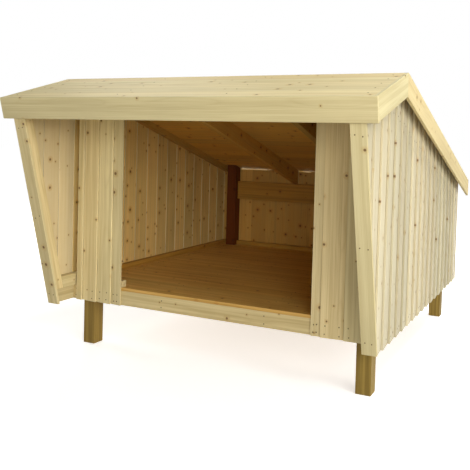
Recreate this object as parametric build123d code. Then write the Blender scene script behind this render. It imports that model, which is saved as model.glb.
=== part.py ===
from build123d import *
import os
from math import cos, radians, tan

# An open-fronted timber garden shelter on four posts. Millimetres, +Z up, +X to the right of
# someone who looks in at the front, +Y towards the back. While it is drawn, Y = 0 is the front
# face of the front posts; every piece is moved at the end so that the origin is on the ground,
# at the centre of the overall box.

# ---- driving dimensions -------------------------------------------------------------------

# Posts
post_size = 90.0
posts_width = 2018.0           # over the outer faces of the posts, left to right
posts_depth = 2065.0           # over the outer faces of the posts, front to back

# Floor frame and floor
frame_bottom = 305.0           # underside of beams, rails and cladding above the ground
beam_thickness = 45.0
beam_height = 95.0
post_to_beam_gap = 9.0         # between a post and the side beam next to it
joist_centre = 362.0           # each of the two joists from the middle of the shelter
floor_thickness = 20.0
notch_clearance = 2.0          # round a post in the floor and round a rafter in the rear wall

# Side walls
rail_thickness = 20.0
cladding_thickness = 20.0
batten_size = 45.0
bottom_plate_height = 55.0
wing_batten_height = 78.0
wing_foot = 238.0              # foot of the slanted edge, in front of the front posts
wing_lean = 14.9               # degrees that the slanted edge leans forward
stud_depth = 70.0
board_thickness = 18.0
trim_width = 82.0

# Front wall
opening_width = 1328.0
panel_gap = 12.0               # between a front panel and the wing's batten beside it
panel_thickness = 20.0
panel_plate_height = 43.0
header_height = 120.0

# Roof
ridge_height = 1784.0
front_pitch = 16.1             # degrees
rear_pitch = 16.5              # degrees
roof_rear_overhang = 134.0     # behind the rear posts
roof_side_overhang = 64.0      # from a side wall to the outer face of the barge board
barge_width = 124.0
fascia_width = 128.0
rafter_centre = 345.0          # each middle rafter from the middle of the shelter
rafter_depth = 120.0
front_rafter_depth = 90.0
rafter_tail_setback = 16.0     # rafter ends inside the rear edge of the roof

# Rear wall
rear_wall_gap = 10.0           # between the rear boards and the roof boards, at the outer face
rear_rail_height = 120.0
rear_batten_height = 46.0
rear_plate_height = 38.0

# ---- places worked out from them ----------------------------------------------------------

post_outer_x = posts_width / 2
post_inner_x = post_outer_x - post_size
side_beam_inner_x = post_outer_x + post_to_beam_gap
rail_inner_x = side_beam_inner_x + beam_thickness
cladding_inner_x = rail_inner_x + rail_thickness
wall_outer_x = cladding_inner_x + cladding_thickness
batten_inner_x = cladding_inner_x - batten_size
trim_inner_x = wall_outer_x - trim_width
opening_x = opening_width / 2
panel_outer_x = batten_inner_x - panel_gap
barge_outer_x = wall_outer_x + roof_side_overhang
barge_inner_x = barge_outer_x - board_thickness

front_y = -beam_thickness                 # front face of the front beam
panel_front_y = front_y - panel_thickness
ridge_y = front_y / 2
rear_y = posts_depth                      # rear face of the rear posts
rear_wall_y = rear_y + cladding_thickness
rear_inner_y = rear_y - beam_thickness
roof_rear_y = rear_y + roof_rear_overhang
tail_y = roof_rear_y - rafter_tail_setback

beam_top = frame_bottom + beam_height
floor_top = beam_top + floor_thickness

lean = tan(radians(wing_lean))
lean_stretch = 1 / cos(radians(wing_lean))


def leaning_y(z, behind=0.0):
    """Y at height z of the trims' front plane, or of a plane so far behind it."""
    return -wing_foot - (z - frame_bottom) * lean + behind * lean_stretch


def slope_z(pitch, y, below=0.0):
    """Height at Y of a slope's top, or of a plane so far below it, measured square to it."""
    return ridge_height - abs(y - ridge_y) * tan(radians(pitch)) - below / cos(radians(pitch))


def roof_z(y, below=0.0):
    """The same for the slope that is over Y."""
    return slope_z(front_pitch if y < ridge_y else rear_pitch, y, below)


def leaning_roof_point(below, behind):
    """(y, z) where a plane below the front slope meets a plane behind the trims' front."""
    slope = tan(radians(front_pitch))
    ridge_z = ridge_height - below / cos(radians(front_pitch))
    foot_y = leaning_y(0.0, behind)
    z = (ridge_z - (ridge_y - foot_y) * slope) / (1 + lean * slope)
    return leaning_y(z, behind), z


fascia_front = -board_thickness           # the fascia's face is this far behind the trims' front
fascia_top_front = leaning_roof_point(0, fascia_front)
fascia_top_back = leaning_roof_point(0, 0)
fascia_bottom_z = fascia_top_front[1] - fascia_width / lean_stretch
rear_wall_top = roof_z(rear_wall_y, board_thickness) - rear_wall_gap

# The middle of the roof front to back, where the origin is.
middle_y = (fascia_top_front[0] + roof_rear_y) / 2

# ---- ways of making pieces ----------------------------------------------------------------

os.makedirs("parts", exist_ok=True)


def save(name, solid):
    """Write one node, moved so that the origin is the shelter's own."""
    export_step(Pos(0, -middle_y, 0) * solid, f"parts/{name}.step")


def block(x, y, z):
    """A square-cut piece between pairs of limits."""
    size = [limits[1] - limits[0] for limits in (x, y, z)]
    corner = Pos(x[0], y[0], z[0])
    return corner * Box(*size, align=(Align.MIN, Align.MIN, Align.MIN))


def profile(points, x):
    """A piece cut to an outline of (y, z) points, between two limits of x."""
    outline = Plane.YZ.offset(x[0]) * make_face(Polyline(*points, close=True))
    return extrude(outline, amount=x[1] - x[0])


def left(inner, outer):
    """Limits of x on the left, from two distances from the middle."""
    return (-outer, -inner)


def right(inner, outer):
    """The same on the right."""
    return (inner, outer)


def save_pair(name, make):
    """Write the left and the right piece of a pair, which make(side) gives for one side."""
    save(f"{name}_left", make(left))
    save(f"{name}_right", make(right))


# ---- posts --------------------------------------------------------------------------------

def post(y):
    """The (y, z) outline of a post, cut at the top to the underside of the rear slope."""
    top = [(at, roof_z(at, board_thickness)) for at in (y + post_size, y)]
    return [(y, 0), (y + post_size, 0), *top]


for place, y in (("front", 0.0), ("rear", rear_y - post_size)):
    save_pair(f"post_{place}", lambda side: profile(post(y), side(post_inner_x, post_outer_x)))

# ---- floor --------------------------------------------------------------------------------

frame_z = (frame_bottom, beam_top)
save("floor_beam_front", block((-rail_inner_x, rail_inner_x), (front_y, 0), frame_z))
save("floor_beam_rear", block((-post_inner_x, post_inner_x), (rear_inner_y, rear_y), frame_z))
save_pair("floor_beam", lambda side: block(side(side_beam_inner_x, rail_inner_x), (0, rear_y), frame_z))
save_pair("floor_joist", lambda side: block(
    side(joist_centre - beam_thickness / 2, joist_centre + beam_thickness / 2),
    (0, rear_inner_y), frame_z))

# The front posts stand in a hole each, and the rear posts in a notch that is open at the back.
floor = block((-batten_inner_x, batten_inner_x), (front_y, rear_y), (beam_top, floor_top))
for side in (left, right):
    for notch_y in ((0, post_size + notch_clearance), (rear_y - post_size - notch_clearance, rear_y)):
        floor -= block(side(post_inner_x - notch_clearance, post_outer_x + notch_clearance),
                       notch_y, (beam_top, floor_top))
save("floor_boards", floor)

# ---- side walls ---------------------------------------------------------------------------

def side_wall_outline():
    """Cladding from the slanted edge to the rear face, up to the underside of the roof boards."""
    return [(leaning_y(frame_bottom, board_thickness), frame_bottom),
            (rear_wall_y, frame_bottom),
            (rear_wall_y, roof_z(rear_wall_y, board_thickness)),
            (ridge_y, roof_z(ridge_y, board_thickness)),
            leaning_roof_point(board_thickness, board_thickness)]


def leaning_outline(low, behind, depth):
    """A slanted piece from a height up to the roof boards, so far behind the trims' front."""
    return [(leaning_y(low, behind), low), (leaning_y(low, behind + depth), low),
            leaning_roof_point(board_thickness, behind + depth),
            leaning_roof_point(board_thickness, behind)]


def wing_outline(low, high, behind, back):
    """A level piece that starts at the slanted edge and ends square at the back."""
    return [(leaning_y(low, behind), low), (back, low), (back, high), (leaning_y(high, behind), high)]


save_pair("side_wall", lambda side: profile(side_wall_outline(), side(cladding_inner_x, wall_outer_x)))
save_pair("side_rail", lambda side: profile(
    wing_outline(frame_bottom, beam_top, board_thickness, rear_y), side(rail_inner_x, cladding_inner_x)))
save_pair("wing_trim", lambda side: profile(
    leaning_outline(frame_bottom, 0, board_thickness), side(trim_inner_x, wall_outer_x)))
save_pair("wing_stud", lambda side: profile(
    leaning_outline(beam_top, board_thickness, stud_depth), side(batten_inner_x, cladding_inner_x)))
save_pair("wing_batten", lambda side: profile(
    wing_outline(beam_top, beam_top + wing_batten_height, board_thickness + stud_depth, 0),
    side(batten_inner_x, cladding_inner_x)))
save_pair("bottom_plate", lambda side: block(
    side(batten_inner_x, cladding_inner_x), (0, rear_y), (beam_top, beam_top + bottom_plate_height)))

# ---- front wall ---------------------------------------------------------------------------

header_top = [(y, roof_z(y, board_thickness)) for y in (0, ridge_y, front_y)]
header_bottom = roof_z(ridge_y, board_thickness) - header_height
save("front_header", profile([(front_y, header_bottom), (0, header_bottom), *header_top],
                             (-cladding_inner_x, cladding_inner_x)))

panel_top = [(y, roof_z(y, board_thickness)) for y in (front_y, panel_front_y)]
save_pair("front_panel", lambda side: profile(
    [(panel_front_y, frame_bottom), (front_y, frame_bottom), *panel_top],
    side(opening_x, panel_outer_x)))
save_pair("panel_plate", lambda side: block(
    side(opening_x, panel_outer_x), (front_y, 0), (floor_top, floor_top + panel_plate_height)))

# ---- roof ---------------------------------------------------------------------------------

def rear_slope(top, depth, start, end):
    """A piece under the rear slope, with its top so far below the roof's top."""
    return [(start, roof_z(start, top + depth)), (end, roof_z(end, top + depth)),
            (end, roof_z(end, top)), (start, roof_z(start, top))]


def front_slope(top, depth, start, behind=0.0):
    """A piece under the front slope, from start forward to a plane behind the trims' front."""
    return [leaning_roof_point(top + depth, behind), (start, slope_z(front_pitch, start, top + depth)),
            (start, slope_z(front_pitch, start, top)), leaning_roof_point(top, behind)]


full = (-barge_inner_x, barge_inner_x)
save("roof_boards_front", profile(front_slope(0, board_thickness, ridge_y), full))
save("roof_boards_rear", profile(rear_slope(0, board_thickness, ridge_y, roof_rear_y), full))

barge_x = (barge_inner_x, barge_outer_x)
front_barge = front_slope(0, barge_width, ridge_y)
rear_barge = rear_slope(0, barge_width, ridge_y, roof_rear_y)
save_pair("barge_front", lambda side: profile(front_barge, side(*barge_x)))
save_pair("barge_rear", lambda side: profile(rear_barge, side(*barge_x)))

fascia_bottom = [(leaning_y(fascia_bottom_z, behind), fascia_bottom_z) for behind in (0, fascia_front)]
save("fascia_front", profile([*fascia_bottom, fascia_top_front, fascia_top_back],
                             (-barge_outer_x, barge_outer_x)))

rafter_x = (rafter_centre - beam_thickness / 2, rafter_centre + beam_thickness / 2)
edge_rafter_x = (batten_inner_x, cladding_inner_x)
middle_rafter = rear_slope(board_thickness, rafter_depth, 0, tail_y)
edge_rafter = rear_slope(board_thickness, batten_size, 0, tail_y)
save_pair("rafter_rear", lambda side: profile(middle_rafter, side(*rafter_x)))
save_pair("rafter_front", lambda side: profile(
    front_slope(board_thickness, front_rafter_depth, front_y), side(*rafter_x)))
save_pair("edge_rafter_rear", lambda side: profile(edge_rafter, side(*edge_rafter_x)))
save_pair("edge_rafter_front", lambda side: profile(
    front_slope(board_thickness, batten_size, front_y, board_thickness + stud_depth),
    side(*edge_rafter_x)))

# ---- rear wall ----------------------------------------------------------------------------

rear_wall = block((-cladding_inner_x, cladding_inner_x), (rear_y, rear_wall_y),
                  (frame_bottom, rear_wall_top))
for side in (left, right):
    for (inner, outer), depth in ((rafter_x, rafter_depth), (edge_rafter_x, batten_size)):
        notch_bottom = roof_z(rear_wall_y, board_thickness + depth) - notch_clearance
        rear_wall -= block(side(inner - notch_clearance, outer + notch_clearance),
                           (rear_y, rear_wall_y), (notch_bottom, rear_wall_top))
save("rear_wall", rear_wall)

rear_y_limits = (rear_inner_y, rear_y)
between_posts = (-post_inner_x, post_inner_x)
rear_rail_top = roof_z(rear_y, board_thickness + rafter_depth)
rear_rail_bottom = rear_rail_top - rear_rail_height
save("rear_rail", block(between_posts, rear_y_limits, (rear_rail_bottom, rear_rail_top)))
save("rear_batten", block(between_posts, rear_y_limits,
                          (rear_rail_bottom - rear_batten_height, rear_rail_bottom)))
save("rear_plate", block(between_posts, rear_y_limits, (floor_top, floor_top + rear_plate_height)))
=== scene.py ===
import random
from math import ceil, cos, pi, radians, sin

import bmesh
import bpy
from mathutils import Matrix, Vector


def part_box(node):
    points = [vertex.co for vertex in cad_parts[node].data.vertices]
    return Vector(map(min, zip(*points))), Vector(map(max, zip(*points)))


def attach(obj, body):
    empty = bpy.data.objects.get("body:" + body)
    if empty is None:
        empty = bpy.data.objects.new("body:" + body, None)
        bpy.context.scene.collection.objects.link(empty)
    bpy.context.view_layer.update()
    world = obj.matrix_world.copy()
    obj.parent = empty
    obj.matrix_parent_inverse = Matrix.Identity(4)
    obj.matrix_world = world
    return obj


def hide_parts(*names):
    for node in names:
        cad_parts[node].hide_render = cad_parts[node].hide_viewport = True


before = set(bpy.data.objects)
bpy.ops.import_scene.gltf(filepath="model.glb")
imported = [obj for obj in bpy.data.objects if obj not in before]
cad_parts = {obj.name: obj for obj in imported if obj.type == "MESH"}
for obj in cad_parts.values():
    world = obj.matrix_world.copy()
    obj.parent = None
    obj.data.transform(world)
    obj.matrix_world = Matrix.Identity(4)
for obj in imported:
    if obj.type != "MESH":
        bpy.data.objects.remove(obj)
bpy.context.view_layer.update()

# The looks of an open-fronted timber garden shelter. Metres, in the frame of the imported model:
# +X to the right of someone who looks in at the front, +Y towards the back, +Z up.


# ---- sizes read from the frame --------------------------------------------------------------

def low(node):
    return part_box(node)[0]


def high(node):
    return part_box(node)[1]


def corners_of(node):
    return [v.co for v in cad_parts[node].data.vertices]


wall_outer = high("side_wall_right").x
wall_inner = low("side_wall_right").x
wall_rear = high("side_wall_right").y
beam_face = low("floor_beam_front").y
beam_foot = low("floor_beam_front").z
beam_top = high("floor_beam_front").z
floor_top = high("floor_boards").z
floor_side = high("floor_boards").x
panel_face = low("front_panel_right").y
panel_inner = high("front_panel_right").y
opening_side = low("front_panel_right").x
panel_side = high("front_panel_right").x
rear_inner = low("rear_wall").y
rear_outer = high("rear_wall").y
rear_top = high("rear_wall").z
barge_face = high("barge_rear_right").x
roof_side = high("roof_boards_rear").x
ridge = high("roof_boards_rear").z
ridge_y = low("roof_boards_rear").y
rear_edge_y = high("roof_boards_rear").y
post_front = low("post_front_right").y
cladding = wall_outer - wall_inner            # thickness of the walls, lapped boards together
joist_x = (low("floor_joist_right").x + high("floor_joist_right").x) / 2
rafter_x = (low("rafter_rear_right").x + high("rafter_rear_right").x) / 2


def slope(node, sign):
    """Direction down a roof slope, from two corners of its upper face. The sign is that of its Y."""
    corners = corners_of(node)
    upper = max(corners, key=lambda at: (round(at.z, 5), sign * at.y))
    lower = max(corners, key=lambda at: (round(sign * at.y, 4), at.z))
    down = Vector((0, lower.y - upper.y, lower.z - upper.z))
    return down.normalized()


front_down = slope("roof_boards_front", -1)
rear_down = slope("roof_boards_rear", 1)
rear_fall = -rear_down.z / rear_down.y


def lean_direction():
    """Direction up the slanted edge of the wings, from the foot and the head of a trim."""
    corners = corners_of("wing_trim_right")
    foot = min(corners, key=lambda at: (round(at.z, 5), at.y))
    head = min(corners, key=lambda at: at.y)
    return Vector((0, head.y - foot.y, head.z - foot.z)).normalized()


lean_up = lean_direction()
trim_foot = low("wing_trim_right").z
trim_front_y = min(at.y for at in corners_of("wing_trim_right") if at.z < trim_foot + 0.001)

ALONG_X = Vector((1, 0, 0))
ALONG_Y = Vector((0, 1, 0))
ALONG_Z = Vector((0, 0, 1))
FRONT = -ALONG_Y
lean_face = lean_up.cross(ALONG_X)            # square to the wings' slanted trims

draw = random.Random(7)


# ---- node trees -----------------------------------------------------------------------------

class Socket:
    """An output of a node tree that Python's operators work on."""

    def __init__(self, tree, link):
        self.tree, self.link = tree, link

    def __add__(self, other):
        return self.tree.math("ADD", self, other)

    def __radd__(self, other):
        return self.tree.math("ADD", other, self)

    def __sub__(self, other):
        return self.tree.math("SUBTRACT", self, other)

    def __rsub__(self, other):
        return self.tree.math("SUBTRACT", other, self)

    def __mul__(self, other):
        return self.tree.math("MULTIPLY", self, other)

    def __rmul__(self, other):
        return self.tree.math("MULTIPLY", other, self)

    def __truediv__(self, other):
        return self.tree.math("DIVIDE", self, other)

    def other(self, out):
        """Another output of the same node."""
        return Socket(self.tree, self.link.node.outputs[out])


class Tree:
    """A node tree that grows by calls: values or sockets go in, a socket comes out."""

    def __init__(self, nodes):
        self.tree = nodes

    def node(self, kind, settings=None, sockets=None, out=0):
        node = self.tree.nodes.new(kind)
        for name, value in (settings or {}).items():
            setattr(node, name, value)
        for name, value in (sockets or {}).items():
            for one in value if isinstance(value, tuple) and isinstance(value[0], Socket) else [value]:
                if isinstance(one, Socket):
                    self.tree.links.new(one.link, node.inputs[name])
                else:
                    node.inputs[name].default_value = one
        return Socket(self, node.outputs[out]) if node.outputs else None

    def math(self, operation, *values, clamp=False):
        return self.node("ShaderNodeMath", {"operation": operation, "use_clamp": clamp},
                         dict(enumerate(values)))

    def vector(self, x, y, z):
        return self.node("ShaderNodeCombineXYZ", None, {0: x, 1: y, 2: z})

    def step(self, value, start, end):
        """0 before start, 1 after end and smooth between them."""
        return self.node("ShaderNodeMapRange", {"interpolation_type": "SMOOTHSTEP"},
                         {"Value": value, "From Min": start, "From Max": end})

    def blend(self, share, first, second):
        """The first colour turning into the second."""
        return self.node("ShaderNodeMix", {"data_type": "RGBA"}, {0: share, 6: first, 7: second}, out=2)

    def multiply(self, share, first, second):
        """The first colour filtered by the second."""
        return self.node("ShaderNodeMix", {"data_type": "RGBA", "blend_type": "MULTIPLY"},
                         {0: share, 6: first, 7: second}, out=2)

    def shade(self, colour, factor):
        """A colour made lighter or darker."""
        return self.node("ShaderNodeVectorMath", {"operation": "SCALE"}, {0: colour, "Scale": factor})


# ---- finishes -------------------------------------------------------------------------------

KNOT_STAIN = (0.80, 0.62, 0.40, 1)    # resin round a knot
KNOT_CELLS = 8.5                      # to a metre; each may hold a knot
KNOT_RADIUS = 0.0035                  # of the smallest knot
KNOT_GROWTH = 0.006                   # what the largest has more
KNOTS_INDOORS = 0.2                   # the share of the cells with a knot is this much higher indoors
PITH_SPREAD = 0.24                    # the piths lie within this width
PITH_NEAR, PITH_FAR = 0.03, 0.12      # how deep they lie under the board's middle
RINGS_WIDE, RINGS_NARROW = 110, 180   # to a metre, in fast and in slow grown wood


def pine(name, pale, deep, knot=(0.13, 0.060, 0.015), knots=0.42, streaks=1.0, boards=0.10,
         warm=(1.0, 0.93, 0.84), indoor=(1.0, 0.8, 0.5), roughness=0.62):
    """Planed or sawn pine, from its pale to its deep colour. The grain follows each board's own
    coordinates, which are stored on the mesh: along it, across it and through it in metres. A number
    from 0 to 1 gives each board its own tone, between as it is and warm, and its own rings. Faces
    in the room take painted shade: their colour is filtered by the room tone, a deeper and warmer
    colour that stands in for the shadow and the warm bounced light in the room. They also have more knots."""
    material = bpy.data.materials.new(name)
    material.use_nodes = True
    material.node_tree.nodes.clear()
    tree = Tree(material.node_tree)

    place = tree.node("ShaderNodeAttribute", {"attribute_name": "grain"}, out="Vector")
    number = tree.node("ShaderNodeAttribute", {"attribute_name": "board"}, out="Fac")
    along = tree.node("ShaderNodeSeparateXYZ", None, {0: place}, out=0)
    across, through = along.other(1), along.other(2)
    second = tree.math("FRACT", number * 17.3)
    third = tree.math("FRACT", number * 41.7)

    # knots: one in some of the cells of a plane through the board
    cells = {"voronoi_dimensions": "2D"}
    plane = {"Vector": tree.vector(along, across, 0.0), "Scale": KNOT_CELLS}
    cell = tree.node("ShaderNodeTexVoronoi", cells, plane, out="Color")
    knot_distance = cell.other("Distance") / KNOT_CELLS
    knot_draw = tree.node("ShaderNodeSeparateColor", None, {0: cell}, out=0)
    knot_size = knot_draw.other(1)
    indoors = tree.node("ShaderNodeAttribute", {"attribute_name": "indoors"}, out="Fac")
    has_knot = tree.math("LESS_THAN", knot_draw, knots + indoors * KNOTS_INDOORS)
    knot_radius = KNOT_RADIUS + knot_size * knot_size * KNOT_GROWTH
    knot_core = (1 - tree.step(knot_distance, knot_radius * 0.7, knot_radius * 1.35)) * has_knot
    knot_halo = (1 - tree.step(knot_distance, knot_radius, knot_radius * 4)) * has_knot

    # rings: round a pith that lies beside or under the board, wavy along it, bent round a knot
    wave = tree.node("ShaderNodeTexNoise", None, {
        "Vector": tree.vector(along * 1.7, across * 5.0, through * 5.0 + number * 30),
        "Scale": 1.0, "Detail": 2.0})
    pith_across = (number - 0.5) * PITH_SPREAD
    pith_through = PITH_NEAR + second * (PITH_FAR - PITH_NEAR)
    side = across - pith_across
    depth = through + pith_through
    radius = tree.math("SQRT", side * side + depth * depth) + (wave - 0.5) * 0.03 + knot_halo * 0.007
    rings = RINGS_WIDE + third * (RINGS_NARROW - RINGS_WIDE)
    ring = tree.math("PINGPONG", radius * rings, 0.5) * 2
    latewood = ring * ring * ring

    # streaks of colour along the board, and its fibres
    streak = tree.node("ShaderNodeTexNoise", None, {
        "Vector": tree.vector(along * 0.8, across * 48.0 + number * 50, through * 48.0),
        "Scale": 1.0, "Detail": 4.0, "Roughness": 0.6})
    fibre = tree.node("ShaderNodeTexNoise", None, {
        "Vector": tree.vector(along * 7.0, across * 420.0, through * 420.0),
        "Scale": 1.0, "Detail": 2.0})
    blotch = tree.node("ShaderNodeTexNoise", None, {
        "Vector": tree.vector(along * 2.2, across * 6.0, number * 40),
        "Scale": 1.0, "Detail": 2.0})

    share = (latewood * 0.36 + tree.step(streak, 0.36, 0.66) * 0.8) * streaks
    wood = tree.blend(tree.math("ADD", share, (fibre - 0.5) * 0.35, clamp=True), (*pale, 1), (*deep, 1))
    tint = tree.blend(tree.math("FRACT", number * 7.1), (*warm, 1), (1, 1, 0.97, 1))
    wood = tree.multiply(1.0, wood, tint)
    # painted room shade: faces in the room are filtered by the finish's room tone, a deeper, warmer colour
    # for the room's shadow and bounced light
    wood = tree.multiply(indoors, wood, (*indoor, 1))
    level = (1 - boards) + boards * 2 * second + (blotch - 0.5) * 0.22
    level = level + indoors * ((second - 0.5) * 0.10 + (streak - 0.5) * 1.2)
    wood = tree.multiply(knot_halo * (0.45 + indoors * 0.35), tree.shade(wood, level), KNOT_STAIN)
    colour = tree.blend(knot_core * 0.88, wood, (*knot, 1))

    height = fibre * 0.5 - latewood * 0.35 - knot_core * 0.4
    bump = tree.node("ShaderNodeBump", None, {"Strength": 0.25, "Distance": 0.0008, "Height": height})
    shader = tree.node("ShaderNodeBsdfPrincipled", None, {
        "Base Color": colour, "Roughness": roughness + (fibre - 0.5) * 0.2 - knot_core * 0.15,
        "Normal": bump, "Specular IOR Level": 0.28})
    tree.node("ShaderNodeOutputMaterial", None, {"Surface": shader})
    return material


def screw_metal():
    """Yellow-passivated screw heads, dulled and a little dirty."""
    material = bpy.data.materials.new("screw_metal")
    material.use_nodes = True
    material.node_tree.nodes.clear()
    tree = Tree(material.node_tree)
    place = tree.node("ShaderNodeTexCoord", None, None, out="Object")
    dirt = tree.node("ShaderNodeTexNoise", None, {"Vector": place, "Scale": 900.0, "Detail": 2.0})
    colour = tree.blend(tree.step(dirt, 0.4, 0.65), (0.20, 0.135, 0.06, 1), (0.06, 0.036, 0.015, 1))
    shader = tree.node("ShaderNodeBsdfPrincipled", None, {
        "Base Color": colour, "Roughness": 0.42 + dirt * 0.3, "Metallic": 0.6})
    tree.node("ShaderNodeOutputMaterial", None, {"Surface": shader})
    return material


# The room tone given to a finish is painted shade, for faces that lie in the room.
finishes = {
    # The side walls and the front panels are of the same cladding in two copies, which is painted light:
    # the side walls' copy is darker and greyer for the strong key light on them, the front panels' copy
    # lighter and warmer for the weaker light on their faces.
    "side_cladding": pine("side_cladding_pine_dimmed_for_key_light", (0.612, 0.56, 0.405), (0.46, 0.40, 0.26), knots=0.6,
                          streaks=0.65, warm=(1.0, 0.97, 0.93), indoor=(1.38, 1.10, 0.58)),
    "rear_cladding": pine("rear_cladding_pine", (0.655, 0.60, 0.44), (0.45, 0.38, 0.235), knots=0.75,
                          indoor=(1.20, 0.86, 0.35)),
    "front_cladding": pine("front_cladding_pine_lifted_for_weak_light", (0.79, 0.69, 0.415), (0.60, 0.49, 0.25), knots=0.5,
                           streaks=0.8),
    "trim_boards": pine("trim_pine", (0.68, 0.605, 0.36), (0.525, 0.44, 0.23), knots=0.3, boards=0.05,
                        streaks=0.7),
    "roof_boards": pine("roof_pine", (0.745, 0.65, 0.385), (0.58, 0.475, 0.24), knots=0.35, boards=0.06,
                        streaks=0.75, indoor=(1.02, 0.74, 0.30)),
    # The floor's deep orange is painted shade: the warm dark of the room's shadow and bounced light, given
    # to the boards as their own colour.
    "floor_boards": pine("floor_pine_in_painted_room_shade", (0.71, 0.45, 0.135), (0.50, 0.29, 0.065), knots=0.4,
                         boards=0.05),
    "frame_timber": pine("frame_pine", (0.70, 0.61, 0.35), (0.54, 0.44, 0.22), knots=0.35,
                         indoor=(0.88, 0.64, 0.26)),
    # A darker, warmer copy of the frame pine: painted shade, for the rear rail, batten and plate and the
    # bottom plates, which stand in shadow.
    "rail": pine("rail_pine_in_painted_shade", (0.52, 0.30, 0.055), (0.36, 0.19, 0.03), knots=0.4),
    "post_timber": pine("impregnated_post_pine", (0.315, 0.22, 0.048), (0.18, 0.117, 0.02),
                        knot=(0.03, 0.018, 0.007), knots=0.3, indoor=(0.58, 0.20, 0.07)),
    "screws": screw_metal(),
}


# ---- making pieces --------------------------------------------------------------------------

def islands(mesh):
    """Vertex numbers of each separate board in a mesh."""
    parent = list(range(len(mesh.vertices)))

    def root(i):
        while parent[i] != i:
            parent[i] = parent[parent[i]]
            i = parent[i]
        return i

    for edge in mesh.edges:
        a, b = root(edge.vertices[0]), root(edge.vertices[1])
        parent[max(a, b)] = min(a, b)
    groups = {}
    for i in range(len(mesh.vertices)):
        groups.setdefault(root(i), []).append(i)
    return list(groups.values())


def lay_grain(mesh, along, face):
    """Store each board's own coordinates, with the board's face square to the given direction."""
    across = along.cross(face).normalized()
    grain = [0.0] * (3 * len(mesh.vertices))
    board = [0.0] * len(mesh.vertices)
    for group in islands(mesh):
        points = [mesh.vertices[i].co.copy() for i in group]
        middle_across = sum(across.dot(p) for p in points) / len(points)
        middle_face = sum(face.dot(p) for p in points) / len(points)
        start = draw.uniform(5, 95)
        number = draw.random()
        for i, p in zip(group, points):
            grain[3 * i:3 * i + 3] = (along.dot(p) + start, across.dot(p) - middle_across,
                                      face.dot(p) - middle_face)
            board[i] = number
    mesh.attributes.new("grain", "FLOAT_VECTOR", "POINT").data.foreach_set("vector", grain)
    mesh.attributes.new("board", "FLOAT", "POINT").data.foreach_set("value", board)


HAIR = 0.001                          # a face this near the room's edge counts as in it
SQUARE = 0.3                          # a face turned less than this is an edge of its board
WING_SHADE_SHARE = 0.35                     # of the painted room shade, on the inner faces of the wings
THIN_EDGE_SHADE_SHARE = 0.15                # of that, on the thin edges where boards lap: a painted highlight, these edges stay lighter as if they caught the light
THIN_EDGE_REACH = 0.006               # such edges lie this near the wall's inner face


def split_at_room(form):
    """Cut the faces of a long timber where it leaves the room, where its painted room shade begins and
    ends.
    """
    for place, normal in (((0, panel_inner, 0), ALONG_Y), ((0, rear_inner, 0), ALONG_Y),
                          ((0, 0, floor_top), ALONG_Z)):
        geometry = form.verts[:] + form.edges[:] + form.faces[:]
        bmesh.ops.bisect_plane(form, geom=geometry, plane_co=place, plane_no=normal)


def timber_shade_share(place):
    """The painted room shade on a face of a timber: 1 for one that lies in the room, 0 for one outside."""
    return float(panel_inner < place.y < rear_inner + HAIR and place.z > floor_top - HAIR)


def wall_shade_share(face, inwards, inner_face):
    """How much painted room shade a face of a wall or the roof takes."""
    share = 1.0 if face.center.y > panel_inner else WING_SHADE_SHARE
    turned = face.normal.dot(inwards)
    if turned > SQUARE:
        return share
    # thin edges by the inner face take less painted shade, a painted highlight
    thin_edge = abs(turned) < SQUARE and inner_face - inwards.dot(face.center) < THIN_EDGE_REACH
    return THIN_EDGE_SHADE_SHARE * share if thin_edge else 0.0


def mark_room_shade(mesh, indoors):
    """Store how much painted room shade each face takes. What the second argument holds is the direction
    inwards for a wall or the roof, True for a timber that reaches into the room, or nothing."""
    if isinstance(indoors, Vector):
        inner_face = max(indoors.dot(v.co) for v in mesh.vertices)
        shares = [wall_shade_share(face, indoors, inner_face) for face in mesh.polygons]
    elif indoors:
        shares = [timber_shade_share(face.center) for face in mesh.polygons]
    else:
        shares = [0.0] * len(mesh.polygons)
    mesh.attributes.new("indoors", "FLOAT", "FACE").data.foreach_set("value", shares)


def piece(name, mesh, finish, *nodes):
    """A finished piece that stands for CAD nodes."""
    mesh.materials.clear()
    mesh.materials.append(finishes[finish])
    mesh.polygons.foreach_set("use_smooth", [False] * len(mesh.polygons))
    thing = bpy.data.objects.new(name, mesh)
    bpy.context.scene.collection.objects.link(thing)
    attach(thing, "root")
    for node in nodes:
        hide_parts(node)
    return thing


def merged(node):
    """The CAD node's shape as whole faces, not loose triangles."""
    form = bmesh.new()
    form.from_mesh(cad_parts[node].data)
    bmesh.ops.remove_doubles(form, verts=form.verts, dist=1e-5)
    bmesh.ops.dissolve_limit(form, angle_limit=radians(1), verts=form.verts, edges=form.edges)
    return form


def timber(node, along, face, finish, indoors=False, arris=0.002):
    """A sawn or planed timber of the CAD node's shape, with its arrises eased."""
    form = merged(node)
    sharp = [edge for edge in form.edges if edge.calc_face_angle(0) > radians(20)]
    bmesh.ops.bevel(form, geom=sharp, offset=arris, segments=2, profile=0.6, affect="EDGES",
                    clamp_overlap=True)
    if indoors:
        split_at_room(form)
    mesh = bpy.data.meshes.new(f"{node}_timber")
    form.to_mesh(mesh)
    form.free()
    lay_grain(mesh, along, face)
    mark_room_shade(mesh, indoors)
    return piece(f"{node}_timber", mesh, finish, node)


def timbers(node, along, face, finish, indoors=False, arris=0.002):
    """The same for the left and the right of a pair."""
    for side in ("left", "right"):
        timber(f"{node}_{side}", along, face, finish, indoors, arris)


# ---- boards in a row ------------------------------------------------------------------------

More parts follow.
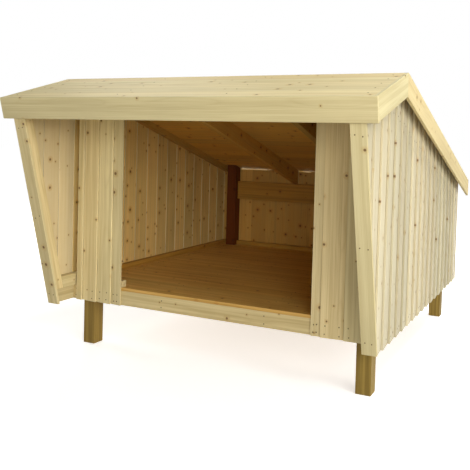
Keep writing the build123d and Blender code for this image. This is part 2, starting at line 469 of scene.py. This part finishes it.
def geometry_tree(name, inputs):
    """A geometry tree with named inputs, and the sockets that carry them."""
    group = bpy.data.node_groups.new(name, "GeometryNodeTree")
    for label, kind in inputs:
        group.interface.new_socket(name=label, in_out="INPUT", socket_type=kind)
    group.interface.new_socket(name="Geometry", in_out="OUTPUT", socket_type="NodeSocketGeometry")
    tree = Tree(group)
    source = group.nodes.new("NodeGroupInput")
    return group, tree, {label: Socket(tree, source.outputs[label]) for label, _ in inputs}


FLOAT, INT, VECTOR = "NodeSocketFloat", "NodeSocketInt", "NodeSocketVector"
OBJECT, MATERIAL = "NodeSocketObject", "NodeSocketMaterial"


def board_run_tree():
    """Boards side by side: a section swept, repeated, placed and cut to an outline."""
    group, tree, given = geometry_tree("board_run", [
        ("Section", OBJECT), ("Boards", INT), ("Pitch", FLOAT), ("Length", FLOAT), ("Place", VECTOR),
        ("Turn", VECTOR), ("Outline", OBJECT), ("Finish", MATERIAL)])
    section = tree.node("GeometryNodeObjectInfo", None, {"Object": given["Section"]}, out="Geometry")
    line = tree.node("GeometryNodeCurvePrimitiveLine", None, {
        "End": tree.vector(0.0, 0.0, given["Length"])})
    board = tree.node("GeometryNodeCurveToMesh", None, {
        "Curve": line, "Profile Curve": section, "Fill Caps": True})
    row = tree.node("GeometryNodeMeshLine", None, {
        "Count": given["Boards"], "Offset": tree.vector(given["Pitch"], 0.0, 0.0)})
    boards = tree.node("GeometryNodeInstanceOnPoints", None, {"Points": row, "Instance": board})
    boards = tree.node("GeometryNodeRealizeInstances", None, {"Geometry": boards})
    boards = tree.node("GeometryNodeTransform", None, {
        "Geometry": boards, "Translation": given["Place"], "Rotation": given["Turn"]})
    outline = tree.node("GeometryNodeObjectInfo", None, {"Object": given["Outline"]}, out="Geometry")
    boards = tree.node("GeometryNodeMeshBoolean", {"operation": "INTERSECT", "solver": "EXACT"}, {
        1: (boards, outline)})
    boards = tree.node("GeometryNodeSetMaterial", None, {"Geometry": boards, "Material": given["Finish"]})
    tree.node("NodeGroupOutput", None, {"Geometry": boards})
    return group


board_run = board_run_tree()


def grown(tree, settings):
    """The plain mesh that a geometry tree makes from its settings."""
    holder = bpy.data.objects.new("holder", bpy.data.meshes.new("holder"))
    bpy.context.scene.collection.objects.link(holder)
    modifier = holder.modifiers.new("grow", "NODES")
    modifier.node_group = tree
    for item in tree.interface.items_tree:
        if item.in_out == "INPUT" and item.name in settings:
            modifier[item.identifier] = settings[item.name]
    graph = bpy.context.evaluated_depsgraph_get()
    mesh = bpy.data.meshes.new_from_object(holder.evaluated_get(graph))
    holder.modifiers.remove(modifier)
    bpy.data.objects.remove(holder)
    return mesh


def outline_of(node, out, spread=3.0):
    """A cutter of the CAD node's outline, made thicker square to the given direction."""
    form = merged(node)
    middle = sum((v.co.dot(out) for v in form.verts), 0.0) / len(form.verts)
    for v in form.verts:
        v.co += out * (v.co.dot(out) - middle) * (spread - 1)
    mesh = bpy.data.meshes.new(f"{node}_outline")
    form.to_mesh(mesh)
    form.free()
    cutter = bpy.data.objects.new(f"{node}_outline", mesh)
    bpy.context.scene.collection.objects.link(cutter)
    return cutter


def eased(corners):
    """The outline of a section with its corners rounded. A corner is its place across the board and
    through it, and its radius."""
    outline = []
    for i, (across, through, radius) in enumerate(corners):
        corner = Vector((across, through))
        if not radius:
            outline.append(corner)
            continue
        before = (Vector(corners[i - 1][:2]) - corner).normalized() * radius
        after = (Vector(corners[(i + 1) % len(corners)][:2]) - corner).normalized() * radius
        for share in (0.0, 0.33, 0.67, 1.0):
            outline.append(corner + before * (1 - share) ** 2 + after * share ** 2)
    return outline


def section_of(corners):
    """A closed curve of a board's section."""
    outline = eased(corners)
    curve = bpy.data.curves.new("section", "CURVE")
    spline = curve.splines.new("POLY")
    spline.points.add(len(outline) - 1)
    for point, (across, through) in zip(spline.points, outline):
        point.co = (across, through, 0, 1)
    spline.use_cyclic_u = True
    thing = bpy.data.objects.new("section", curve)
    bpy.context.scene.collection.objects.link(thing)
    return thing


def boards_over(node, finish, first, across, out, pitch, count, corners, indoors=None, change=None):
    """Boards that cover a CAD node: they start at the edge through the point called first, run across
    and face outwards, and are cut to the node's outline."""
    along = across.cross(out).normalized()
    reach = [along.dot(at) for at in corners_of(node)]
    start = first + along * (min(reach) - SPARE - along.dot(first))
    turn = Matrix((across, out, along)).transposed()
    cutter = outline_of(node, out)
    section = section_of(corners)
    mesh = grown(board_run, {
        "Section": section, "Boards": count, "Pitch": pitch, "Length": max(reach) - min(reach) + 2 * SPARE,
        "Place": start, "Turn": turn.to_euler(), "Outline": cutter, "Finish": finishes[finish]})
    for helper in (cutter, section):
        bpy.data.objects.remove(helper)
    if change:
        change(mesh)
    lay_grain(mesh, along, out)
    mark_room_shade(mesh, indoors)
    return piece(f"{node}_laid", mesh, finish, node)


# ---- posts, floor frame and battens ---------------------------------------------------------

timbers("post_front", ALONG_Z, ALONG_Y, "post_timber", arris=0.003)
timbers("post_rear", ALONG_Z, ALONG_Y, "post_timber", indoors=True, arris=0.003)
for node in ("floor_beam_front", "floor_beam_rear", "front_header"):
    timber(node, ALONG_X, ALONG_Y, "frame_timber")
# These rear pieces take the rail finish: painted shade, a darker, warmer copy of the frame pine.
for node in ("rear_rail", "rear_batten", "rear_plate"):
    timber(node, ALONG_X, ALONG_Y, "rail")
for node in ("floor_beam", "floor_joist", "side_rail"):
    timbers(node, ALONG_Y, ALONG_X, "frame_timber")
timbers("wing_batten", ALONG_Y, ALONG_X, "frame_timber")
# The bottom plates take the rail finish too: painted shade.
timbers("bottom_plate", ALONG_Y, ALONG_X, "rail")
timbers("panel_plate", ALONG_X, ALONG_Y, "frame_timber")
timbers("wing_stud", lean_up, ALONG_X, "frame_timber")
timbers("rafter_rear", rear_down, ALONG_X, "frame_timber", indoors=True)
timbers("edge_rafter_rear", rear_down, ALONG_X, "frame_timber", indoors=True)
timbers("rafter_front", front_down, ALONG_X, "frame_timber", indoors=True)
timbers("edge_rafter_front", front_down, ALONG_X, "frame_timber")

# ---- trims, barges and fascia ---------------------------------------------------------------

timbers("wing_trim", lean_up, lean_face, "trim_boards")
timbers("barge_front", front_down, ALONG_X, "trim_boards")
timbers("barge_rear", rear_down, ALONG_X, "trim_boards")
timber("fascia_front", ALONG_X, lean_face, "trim_boards")

# ---- lapped walls ---------------------------------------------------------------------------

LAP = 0.020                   # how far a board reaches over the next
THIN_EDGE = 0.0065            # thickness of the edge that is lapped over
LAP_PLAY = 0.00015            # between two boards where they lap
STEP_WIDTH = 0.036            # the shallow step lies this far from the next board's edge
STEP_DEPTH = 0.0010
LAID_WIDTH = 0.158            # a usual board with its lap
LAID_STEP = 0.104             # where its step lies
SPARE = 0.05                  # boards are this much too long before they are cut to the outline


def lapped_section(pitch, inner_arris=0.0012, groove=0.0):
    """A wedge-shaped board: its thick edge lies over the thin edge of the one before, and a shallow
    step runs beside the next board's edge. A groove may follow right at that edge."""
    width = pitch + LAP
    under = THIN_EDGE + (cladding - THIN_EDGE) * LAP / width
    step = pitch - STEP_WIDTH
    step_face = cladding + (THIN_EDGE - cladding) * step / width
    last_face = cladding + (THIN_EDGE - cladding) * (pitch - groove) / width - STEP_DEPTH
    thin_edge = [(width, THIN_EDGE - STEP_DEPTH, 0)]
    if groove:
        thin_edge = [(width, THIN_EDGE - groove, 0), (pitch - groove, last_face - groove, 0),
                     (pitch - groove, last_face, 0)]
    return [(0.0, under + LAP_PLAY, 0), (width, 0.0, inner_arris), *thin_edge,
            (step + STEP_DEPTH, step_face - STEP_DEPTH, 0), (step, step_face, 0.0004),
            (0.0, cladding, 0.0018)]


def plain_section(pitch, thickness, gap, arris):
    """A flat board, a little narrower than its pitch."""
    width = pitch - gap
    return [(0.0, 0.0, arris), (width, 0.0, arris), (width, thickness, arris), (0.0, thickness, arris)]


right_pitch = 0.1378
right_joint = post_front - 0.120              # a board's front edge, a little before the posts
right_first = right_joint - 3 * right_pitch
right_count = ceil((wall_rear - right_first) / right_pitch)
boards_over("side_wall_right", "side_cladding", Vector((wall_inner, right_first, 0)), ALONG_Y, ALONG_X,
            right_pitch, right_count, lapped_section(right_pitch), indoors=-ALONG_X)

left_pitch = 0.1396
left_joint = post_front - 0.040               # this wall's boards start at the back
left_first = left_joint + 16 * left_pitch + LAP
left_count = ceil((left_first - low("side_wall_left").y) / left_pitch)
boards_over("side_wall_left", "side_cladding", Vector((-wall_inner, left_first, 0)), -ALONG_Y, -ALONG_X,
            left_pitch, left_count, lapped_section(left_pitch), indoors=ALONG_X)

SHORT_BOARDS = (-0.864, -0.716, -0.272, 0.320, 0.764)      # middles of the boards that let light in
SAME_BOARD = 0.04                             # a middle this near one of those is that board's
HEAD_END = 0.05                               # what lies this near the wall's top is a board's head
rear_gap = 0.0085                             # how much higher the other boards reach


def reach_roof(mesh):
    """Let most boards of the rear wall reach the roof, and leave a slit over the short ones."""
    for group in islands(mesh):
        points = [mesh.vertices[i].co for i in group]
        middle = sum(p.x for p in points) / len(points)
        if min(abs(middle - short) for short in SHORT_BOARDS) < SAME_BOARD:
            continue
        for p in points:
            if p.z > rear_top - HEAD_END:
                p.z += rear_gap


rear_pitch = 0.148
rear_joint = -0.198                           # an edge that shows in the opening
rear_arris = 0.004
rear_first = rear_joint + 9 * rear_pitch + LAP
rear_count = ceil((rear_first + floor_side) / rear_pitch) + 1
boards_over("rear_wall", "rear_cladding", Vector((rear_first, rear_inner, 0)), -ALONG_X, ALONG_Y,
            rear_pitch, rear_count, lapped_section(rear_pitch, rear_arris), indoors=-ALONG_Y,
            change=reach_roof)

# ---- floor and roof -------------------------------------------------------------------------

BOARD_GAP = 0.0004
FLOOR_ARRIS, ROOF_ARRIS = 0.0008, 0.0012
floor_thickness = floor_top - beam_top
floor_front, floor_back = low("floor_boards").y, high("floor_boards").y
floor_count = 14
floor_pitch = (floor_back - floor_front) / floor_count
boards_over("floor_boards", "floor_boards", Vector((0, floor_front, beam_top)), ALONG_Y, ALONG_Z,
            floor_pitch, floor_count, plain_section(floor_pitch, floor_thickness, BOARD_GAP, FLOOR_ARRIS))

roof_thickness = barge_face - roof_side       # the barges are of the same boards
front_edge_y = low("roof_boards_front").y
FRONT_ROOF_BOARDS, REAR_ROOF_BOARDS = 5, 20


def out_of_roof(down):
    """The direction square to a slope, out of the roof."""
    out = ALONG_X.cross(down)
    return out if out.z > 0 else -out


def roof_slope(side, down, foot_y, count):
    """The boards of one slope, from the ridge down."""
    out = out_of_roof(down)
    pitch = abs((foot_y - ridge_y) / down.y) / count
    first = Vector((0, ridge_y, ridge)) - out * roof_thickness
    boards_over(f"roof_boards_{side}", "roof_boards", first, down, out, pitch, count,
                plain_section(pitch, roof_thickness, BOARD_GAP, ROOF_ARRIS), indoors=-ALONG_Z)


roof_slope("front", front_down, front_edge_y, FRONT_ROOF_BOARDS)
roof_slope("rear", rear_down, rear_edge_y, REAR_ROOF_BOARDS)

# ---- front panels ---------------------------------------------------------------------------

PANEL_GROOVE = 0.0045
PANEL_BOARDS = 4
right_panel_pitch, left_panel_pitch = 0.140, 0.119
right_panel_first, left_panel_first = 0.582, -0.624       # edges by the opening, before they are cut
boards_over("front_panel_right", "front_cladding", Vector((right_panel_first, panel_inner, 0)), ALONG_X,
            FRONT, right_panel_pitch, PANEL_BOARDS, lapped_section(right_panel_pitch, groove=PANEL_GROOVE))
boards_over("front_panel_left", "front_cladding", Vector((left_panel_first, panel_inner, 0)), -ALONG_X,
            FRONT, left_panel_pitch, PANEL_BOARDS, lapped_section(left_panel_pitch, groove=PANEL_GROOVE))

# ---- screws ---------------------------------------------------------------------------------

HEAD_RADIUS = 0.0038
HEAD_STANDS = 0.0008          # above the face of the wood
HEAD_SIDES = 10
HEAD_SHAPE = ((1.0, -0.4), (1.0, 0.55), (0.86, 1.0), (0.42, 1.0), (0.34, 0.1))    # radius and height


def screw_head():
    """A countersunk head with a round driving recess, its axis along +Z."""
    form = bmesh.new()
    rings = []
    for radius, height in HEAD_SHAPE:
        rings.append([form.verts.new((HEAD_RADIUS * radius * cos(2 * pi * i / HEAD_SIDES),
                                      HEAD_RADIUS * radius * sin(2 * pi * i / HEAD_SIDES),
                                      HEAD_STANDS * height)) for i in range(HEAD_SIDES)])
    form.faces.new(reversed(rings[0]))
    for lower, upper in zip(rings, rings[1:]):
        for i in range(HEAD_SIDES):
            j = (i + 1) % HEAD_SIDES
            form.faces.new((lower[i], lower[j], upper[j], upper[i]))
    form.faces.new(rings[-1])
    mesh = bpy.data.meshes.new("screw_head")
    form.to_mesh(mesh)
    form.free()
    thing = bpy.data.objects.new("screw_head", mesh)
    bpy.context.scene.collection.objects.link(thing)
    return thing


def screws_tree():
    """A head on every point, turned to the direction stored there and spun at random."""
    group, tree, given = geometry_tree("screws", [
        ("Spots", OBJECT), ("Head", OBJECT), ("Seed", INT), ("Finish", MATERIAL)])
    spots = tree.node("GeometryNodeObjectInfo", None, {"Object": given["Spots"]}, out="Geometry")
    head = tree.node("GeometryNodeObjectInfo", None, {"Object": given["Head"]}, out="Geometry")
    out = tree.node("GeometryNodeInputNamedAttribute", {"data_type": "FLOAT_VECTOR"}, {"Name": "out"})
    spin = tree.node("FunctionNodeRandomValue", {"data_type": "FLOAT"}, {
        2: 0.0, 3: 2 * pi, "Seed": given["Seed"]}, out=1)
    turn = tree.node("FunctionNodeAlignRotationToVector", {"axis": "Z"}, {"Vector": out})
    heads = tree.node("GeometryNodeInstanceOnPoints", None, {
        "Points": spots, "Instance": head, "Rotation": turn})
    heads = tree.node("GeometryNodeRotateInstances", None, {
        "Instances": heads, "Rotation": tree.vector(0.0, 0.0, spin)})
    heads = tree.node("GeometryNodeRealizeInstances", None, {"Geometry": heads})
    heads = tree.node("GeometryNodeSetMaterial", None, {"Geometry": heads, "Material": given["Finish"]})
    tree.node("NodeGroupOutput", None, {"Geometry": heads})
    return group


screws = screws_tree()


def drive(name, spots):
    """Screws at the given spots: each is a point on the wood and the direction outwards."""
    mesh = bpy.data.meshes.new("spots")
    mesh.from_pydata([place for place, _ in spots], [], [])
    flat = [number for _, out in spots for number in out]
    mesh.attributes.new("out", "FLOAT_VECTOR", "POINT").data.foreach_set("vector", flat)
    holder = bpy.data.objects.new("spots", mesh)
    bpy.context.scene.collection.objects.link(holder)
    head = screw_head()
    heads = grown(screws, {"Spots": holder, "Head": head, "Seed": 3, "Finish": finishes["screws"]})
    for helper in (holder, head):
        bpy.data.objects.remove(helper)
    piece(name, heads, "screws")


def jitter(reach=0.004):
    """How far off its mark a screw is driven."""
    return draw.uniform(-reach, reach)


foot_rows = (beam_foot + 0.022, beam_foot + 0.070)
beam_pairs = (-1.043, -0.356, 0.368, 1.043)       # over the side beams and the joists
drive("front_beam_screws", [(Vector((x + jitter(), beam_face, z + jitter())), FRONT)
                            for x in beam_pairs for z in foot_rows])


def wedge_depth(across):
    """How far a lapped board's face lies behind the front of the wall."""
    return (cladding - THIN_EDGE) * across / LAID_WIDTH + (STEP_DEPTH if across > LAID_STEP else 0)


def panel_screws(first, pitch, side):
    """Two rows at the foot and one at the head, two screws to a board. The side is 1 or -1."""
    header_row = low("front_header").z + 0.03
    edges = (opening_side, first + pitch, first + 2 * pitch, panel_side)
    spots = []
    for inner, outer in zip(edges, edges[1:]):
        inset = min(0.03, (outer - inner) / 3)
        for x in (inner + inset, outer - inset):
            for z in (*foot_rows, header_row):
                sunk = wedge_depth(x - inner)
                spots.append((Vector((side * x + jitter(), panel_face + sunk, z + jitter())), FRONT))
    return spots


drive("right_panel_screws", panel_screws(right_panel_first, right_panel_pitch, 1))
drive("left_panel_screws", panel_screws(-left_panel_first, left_panel_pitch, -1))


def wall_screws(first, pitch, count, side):
    """Two screws to a board of a side wall, into the foot beam and into the edge rafter. The right
    wall, side 1, starts in front, and the left wall, side -1, at the back."""
    under_ridge = 0.21
    spots = []
    for board in range(count):
        for inset in (0.028, 0.085):
            y = first + side * (board * pitch + inset)
            if not post_front - 0.07 < y < wall_rear - 0.02:
                continue
            top = ridge - under_ridge - (y - ridge_y) * rear_fall
            x = wall_outer - wedge_depth(inset)
            for z in (beam_foot + 0.045, top):
                spots.append((Vector((side * x, y + jitter(), z + jitter(0.01))), side * ALONG_X))
    return spots


drive("right_wall_screws", wall_screws(right_first, right_pitch, right_count, 1))
drive("left_wall_screws", wall_screws(left_first, left_pitch, left_count, -1))


def trim_screws(side):
    """Pairs up the slanted trims."""
    out = -lean_face
    foot = Vector((0, trim_front_y, trim_foot))
    face = max(out.dot(at) for at in corners_of("wing_trim_right"))
    foot += out * (face - out.dot(foot))
    middle = (low("wing_trim_right").x + high("wing_trim_right").x) / 2
    spots = []
    for up in (0.07, 0.60, 1.17):
        for inset in (-0.018, 0.018):
            x = side * (middle + inset) + jitter()
            spots.append((foot + lean_up * (up + jitter(0.01)) + ALONG_X * x, out))
    return spots


drive("right_trim_screws", trim_screws(1))
drive("left_trim_screws", trim_screws(-1))


def roof_screws(down, foot_y, count, insets):
    """Screws into every rafter, at the given insets from the upper edge of each board."""
    out = out_of_roof(down)
    top = Vector((0, ridge_y, ridge))
    pitch = abs((foot_y - ridge_y) / down.y) / count
    over_edge_rafters = 1.10
    spots = []
    for board in range(count):
        for inset in insets(pitch):
            for x in (-over_edge_rafters, -rafter_x, rafter_x, over_edge_rafters):
                spots.append((top + down * (board * pitch + inset + jitter()) +
                              ALONG_X * (x + jitter()), out))
    return spots


def in_the_middle(pitch):
    return (pitch / 2,)


def by_both_edges(pitch):
    return (0.025, pitch - 0.025)


def rear_wall_screws():
    """Two screws to a board, into the rear beam and into the rail under the roof."""
    spots = []
    for board in range(rear_count):
        for inset in (0.03, 0.09):
            x = rear_first - board * rear_pitch - inset
            if abs(x) >= wall_inner:
                continue
            for z in (beam_foot + 0.045, rear_top - 0.09):
                spots.append((Vector((x, rear_outer - wedge_depth(inset), z + jitter())), ALONG_Y))
    return spots


def floor_screws():
    """Two screws to a board, into the side beams and the joists, clear of the wall plates."""
    over_side_beams = 0.98
    clear = 0.13
    spots = []
    for board in range(floor_count):
        for inset in (0.03, floor_pitch - 0.03):
            back = board * floor_pitch + inset
            if not clear < back < floor_back - floor_front - clear:
                continue
            for x in (-over_side_beams, -joist_x, joist_x, over_side_beams):
                spots.append((Vector((x + jitter(), floor_front + back, floor_top)), ALONG_Z))
    return spots


drive("roof_front_screws", roof_screws(front_down, front_edge_y, FRONT_ROOF_BOARDS, in_the_middle))
drive("roof_rear_screws", roof_screws(rear_down, rear_edge_y, REAR_ROOF_BOARDS, by_both_edges))
drive("rear_wall_screws", rear_wall_screws())
drive("floor_screws", floor_screws())

# ---- floor, light and camera ----------------------------------------------------------------

def studio_floor():
    """A wide pale floor that the posts stand on. It glows, more so further away."""
    material = bpy.data.materials.new("pale_floor")
    material.use_nodes = True
    material.node_tree.nodes.clear()
    tree = Tree(material.node_tree)
    place = tree.node("ShaderNodeTexCoord", out="Object")
    away = tree.node("ShaderNodeVectorMath", {"operation": "LENGTH"}, {0: place}, out=1)
    glow = 0.62 + 0.38 * tree.step(away, 2.2, 6.5)
    shader = tree.node("ShaderNodeBsdfPrincipled", None, {
        "Base Color": (0.85, 0.85, 0.85, 1), "Roughness": 0.9,
        "Emission Color": tree.shade((1, 1, 1), glow), "Emission Strength": 1.0})
    tree.node("ShaderNodeOutputMaterial", None, {"Surface": shader})
    reach = 60.0
    corners = [(-reach, -reach, 0), (reach, -reach, 0), (reach, reach, 0), (-reach, reach, 0)]
    mesh = bpy.data.meshes.new("studio_floor")
    mesh.from_pydata(corners, [], [(0, 1, 2, 3)])
    mesh.materials.append(material)
    thing = bpy.data.objects.new("studio_floor", mesh)
    thing.visible_diffuse = False       # no light thrown up into the shelter
    bpy.context.scene.collection.objects.link(thing)


def area_light(name, place, target, size, power, colour=(1, 1, 1)):
    data = bpy.data.lights.new(name, "AREA")
    data.shape = "DISK"
    data.size = size
    data.energy = power
    data.color = colour
    thing = bpy.data.objects.new(name, data)
    thing.location = place
    thing.rotation_euler = (Vector(target) - Vector(place)).to_track_quat("-Z", "Y").to_euler()
    bpy.context.scene.collection.objects.link(thing)


def studio_world(light, colour):
    """A white surround. What lights the object is a warm glow from the ground, dim from above."""
    world = bpy.data.worlds.new("studio")
    world.use_nodes = True
    world.node_tree.nodes.clear()
    tree = Tree(world.node_tree)
    seen = tree.node("ShaderNodeLightPath", out="Is Camera Ray")
    place = tree.node("ShaderNodeTexCoord", out="Generated")
    above = tree.node("ShaderNodeSeparateXYZ", None, {0: place}, out=2)
    strength = light * (1 - tree.step(above, -0.05, 0.05) * 0.96)
    lighting = tree.node("ShaderNodeBackground", None, {
        "Color": tree.shade(colour, strength), "Strength": 1.0})
    surround = tree.node("ShaderNodeBackground", None, {"Color": (1, 1, 1, 1), "Strength": 1.0})
    mixed = tree.node("ShaderNodeMixShader", None, {0: seen, 1: lighting, 2: surround})
    tree.node("ShaderNodeOutputWorld", None, {"Surface": mixed})
    bpy.context.scene.world = world


studio_floor()
area_light("high_key_light", (8.0, -4.7, 4.9), (0.4, 0.0, 0.8), 2.0, 205)
area_light("side_key_light", (8.0, -2.5, 2.5), (0.4, 0.0, 0.8), 3.0, 192)
area_light("front_key_light", (5.0, -6.5, 3.2), (0.0, 0.0, 0.9), 3.0, 155)
area_light("low_fill_light", (6.0, -5.2, 1.6), (0.0, 0.0, 0.9), 3.0, 85, (1.0, 0.97, 0.90))
area_light("front_fill_light", (2.7, -5.9, 1.8), (0.0, 0.2, 0.8), 2.4, 78, (1.0, 0.95, 0.84))
area_light("roof_light", (3.0, 3.0, 7.5), (0.0, 0.0, 1.2), 4.0, 603)
area_light("back_light", (-6.0, 6.5, 4.5), (0.0, 0.3, 0.9), 4.0, 260, (1.0, 0.98, 0.93))
area_light("left_side_light", (-8.0, 0.8, 2.6), (0.0, 0.2, 0.8), 3.0, 170, (1.0, 0.97, 0.90))
studio_world(0.46, (1.0, 0.93, 0.76))
bpy.context.scene.view_settings.view_transform = "Standard"

camera_data = bpy.data.cameras.new("camera")
camera_data.sensor_width = 36.0
camera_data.lens = 50.964
camera_data.shift_x = -0.0810
camera_data.shift_y = -0.1498
camera = bpy.data.objects.new("camera", camera_data)
camera_turn = radians(24.814)       # to the left of straight in
camera_tilt = radians(1.823)        # downwards
camera_roll = radians(1.633)
camera.matrix_world = (Matrix.Translation((2.015736, -4.344938, 1.386953))
                       @ Matrix.Rotation(camera_turn, 4, "Z")
                       @ Matrix.Rotation(pi / 2 - camera_tilt, 4, "X")
                       @ Matrix.Rotation(camera_roll, 4, "Z"))
bpy.context.scene.collection.objects.link(camera)
bpy.context.scene.camera = camera
